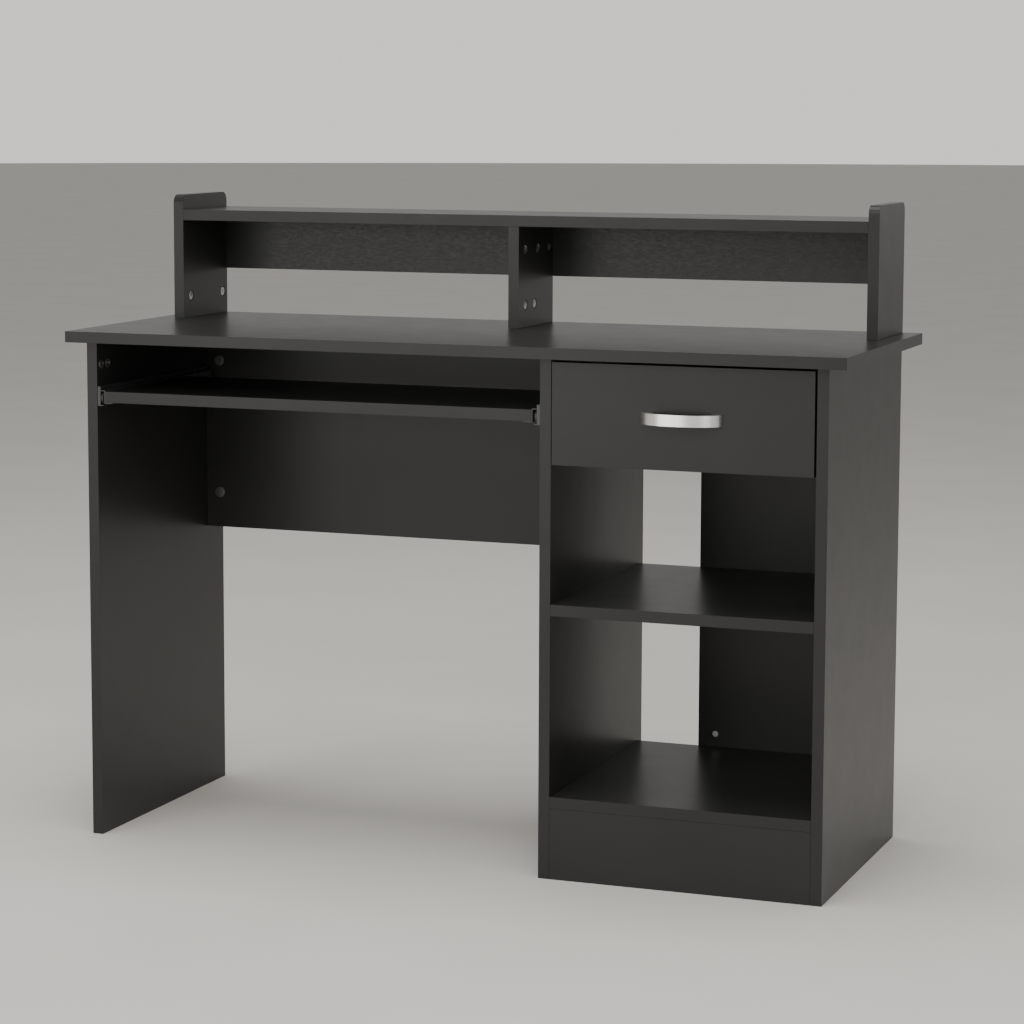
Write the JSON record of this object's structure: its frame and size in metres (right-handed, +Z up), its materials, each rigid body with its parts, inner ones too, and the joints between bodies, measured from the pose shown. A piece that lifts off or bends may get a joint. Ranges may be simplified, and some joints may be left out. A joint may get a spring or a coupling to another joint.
{
  "type": "computer desk with keyboard tray",
  "caption": "Dark board computer desk with a low hutch, a pull-out keyboard tray over the knee space, and a cabinet with a drawer above open shelves.",
  "frame": {"origin": "on the floor under the middle of the bounding box", "axes": "+X to the sitter's right, along the worktop; +Y to the back; +Z up"},
  "size_m": [1.156, 0.4514, 0.93],
  "materials": {
    "charcoal_board": "near-black melamine-faced chipboard, satin",
    "dark_hardboard": "thin dark-faced hardboard",
    "black_steel": "black powder-coated pressed steel",
    "roller_plastic": "dark moulded plastic",
    "satin_nickel": "bright satin nickel",
    "zinc": "bright zinc",
    "cap_plastic": "dark glossy plastic"
  },
  "bodies": {
    "desk": {"back_board_screw": "zinc", "bottom_shelf": "charcoal_board", "cabinet_back_board": "charcoal_board", "cabinet_left_panel": "charcoal_board", "cabinet_right_panel": "charcoal_board", "divider_cam_1": "zinc", "divider_cam_2": "zinc", "divider_cam_3": "zinc", "divider_cam_4": "zinc", "divider_cam_5": "zinc", "drawer_left_rail": "black_steel", "drawer_right_rail": "black_steel", "hutch_back_strip": "dark_hardboard", "hutch_cam_1": "zinc", "hutch_cam_2": "zinc", "hutch_divider": "charcoal_board", "hutch_left_panel": "charcoal_board", "hutch_right_panel": "charcoal_board", "hutch_shelf": "charcoal_board", "kick_board": "charcoal_board", "kneehole_back_panel": "charcoal_board", "kneehole_cap_1": "cap_plastic", "kneehole_cap_2": "cap_plastic", "kneehole_cap_3": "cap_plastic", "kneehole_cap_4": "cap_plastic", "left_side_panel": "charcoal_board", "leg_cam_1": "zinc", "leg_cam_2": "zinc", "middle_shelf": "charcoal_board", "tray_left_rail": "black_steel", "tray_right_rail": "black_steel", "worktop": "charcoal_board"},
    "keyboard_tray": {"keyboard_tray": "charcoal_board", "tray_left_runner": "black_steel", "tray_right_runner": "black_steel"},
    "drawer": {"drawer_back": "charcoal_board", "drawer_bottom": "dark_hardboard", "drawer_front": "charcoal_board", "drawer_handle": "satin_nickel", "drawer_left_runner": "black_steel", "drawer_left_side": "charcoal_board", "drawer_right_runner": "black_steel", "drawer_right_side": "charcoal_board", "handle_screw_left": "zinc", "handle_screw_right": "zinc"},
    "drawer_left_front_roller": {"drawer_left_front_roller": "roller_plastic"},
    "drawer_left_rear_roller": {"drawer_left_rear_roller": "roller_plastic"},
    "drawer_right_front_roller": {"drawer_right_front_roller": "roller_plastic"},
    "drawer_right_rear_roller": {"drawer_right_rear_roller": "roller_plastic"},
    "tray_left_front_roller": {"tray_left_front_roller": "roller_plastic"},
    "tray_left_rear_roller": {"tray_left_rear_roller": "roller_plastic"},
    "tray_right_front_roller": {"tray_right_front_roller": "roller_plastic"},
    "tray_right_rear_roller": {"tray_right_rear_roller": "roller_plastic"}
  },
  "joints": [
    {"name": "tray_slide", "type": "slide", "parent": "desk", "child": "keyboard_tray", "axis": [0, -1, 0], "range_m": [0, 0.21]},
    {"name": "drawer_slide", "type": "slide", "parent": "desk", "child": "drawer", "axis": [0, -1, 0], "range_m": [0, 0.26]},
    {"name": "drawer_left_front_roller_spin", "type": "hinge", "parent": "desk", "child": "drawer_left_front_roller", "pos_m": [0.1687, -0.16825, 0.6071], "axis": [1, 0, 0], "continuous": true},
    {"name": "drawer_left_rear_roller_spin", "type": "hinge", "parent": "drawer", "child": "drawer_left_rear_roller", "pos_m": [0.1687, 0.15605, 0.6071], "axis": [1, 0, 0], "continuous": true},
    {"name": "drawer_right_front_roller_spin", "type": "hinge", "parent": "desk", "child": "drawer_right_front_roller", "pos_m": [0.5283, -0.16825, 0.6071], "axis": [1, 0, 0], "continuous": true},
    {"name": "drawer_right_rear_roller_spin", "type": "hinge", "parent": "drawer", "child": "drawer_right_rear_roller", "pos_m": [0.5283, 0.15605, 0.6071], "axis": [1, 0, 0], "continuous": true},
    {"name": "tray_left_front_roller_spin", "type": "hinge", "parent": "desk", "child": "tray_left_front_roller", "pos_m": [-0.5283, -0.18745, 0.6451], "axis": [1, 0, 0], "continuous": true},
    {"name": "tray_left_rear_roller_spin", "type": "hinge", "parent": "keyboard_tray", "child": "tray_left_rear_roller", "pos_m": [-0.5283, 0.14075, 0.6451], "axis": [1, 0, 0], "continuous": true},
    {"name": "tray_right_front_roller_spin", "type": "hinge", "parent": "desk", "child": "tray_right_front_roller", "pos_m": [0.1393, -0.18745, 0.6451], "axis": [1, 0, 0], "continuous": true},
    {"name": "tray_right_rear_roller_spin", "type": "hinge", "parent": "keyboard_tray", "child": "tray_right_rear_roller", "pos_m": [0.1393, 0.14075, 0.6451], "axis": [1, 0, 0], "continuous": true}
  ],
  "couplings": [
    {"joint": "drawer_left_front_roller_spin", "follows": "drawer_slide", "rad_per_m": 105.26},
    {"joint": "drawer_left_rear_roller_spin", "follows": "drawer_slide", "rad_per_m": 105.26},
    {"joint": "drawer_right_front_roller_spin", "follows": "drawer_slide", "rad_per_m": 105.26},
    {"joint": "drawer_right_rear_roller_spin", "follows": "drawer_slide", "rad_per_m": 105.26},
    {"joint": "tray_left_front_roller_spin", "follows": "tray_slide", "rad_per_m": 105.26},
    {"joint": "tray_left_rear_roller_spin", "follows": "tray_slide", "rad_per_m": 105.26},
    {"joint": "tray_right_front_roller_spin", "follows": "tray_slide", "rad_per_m": 105.26},
    {"joint": "tray_right_rear_roller_spin", "follows": "tray_slide", "rad_per_m": 105.26}
  ]
}
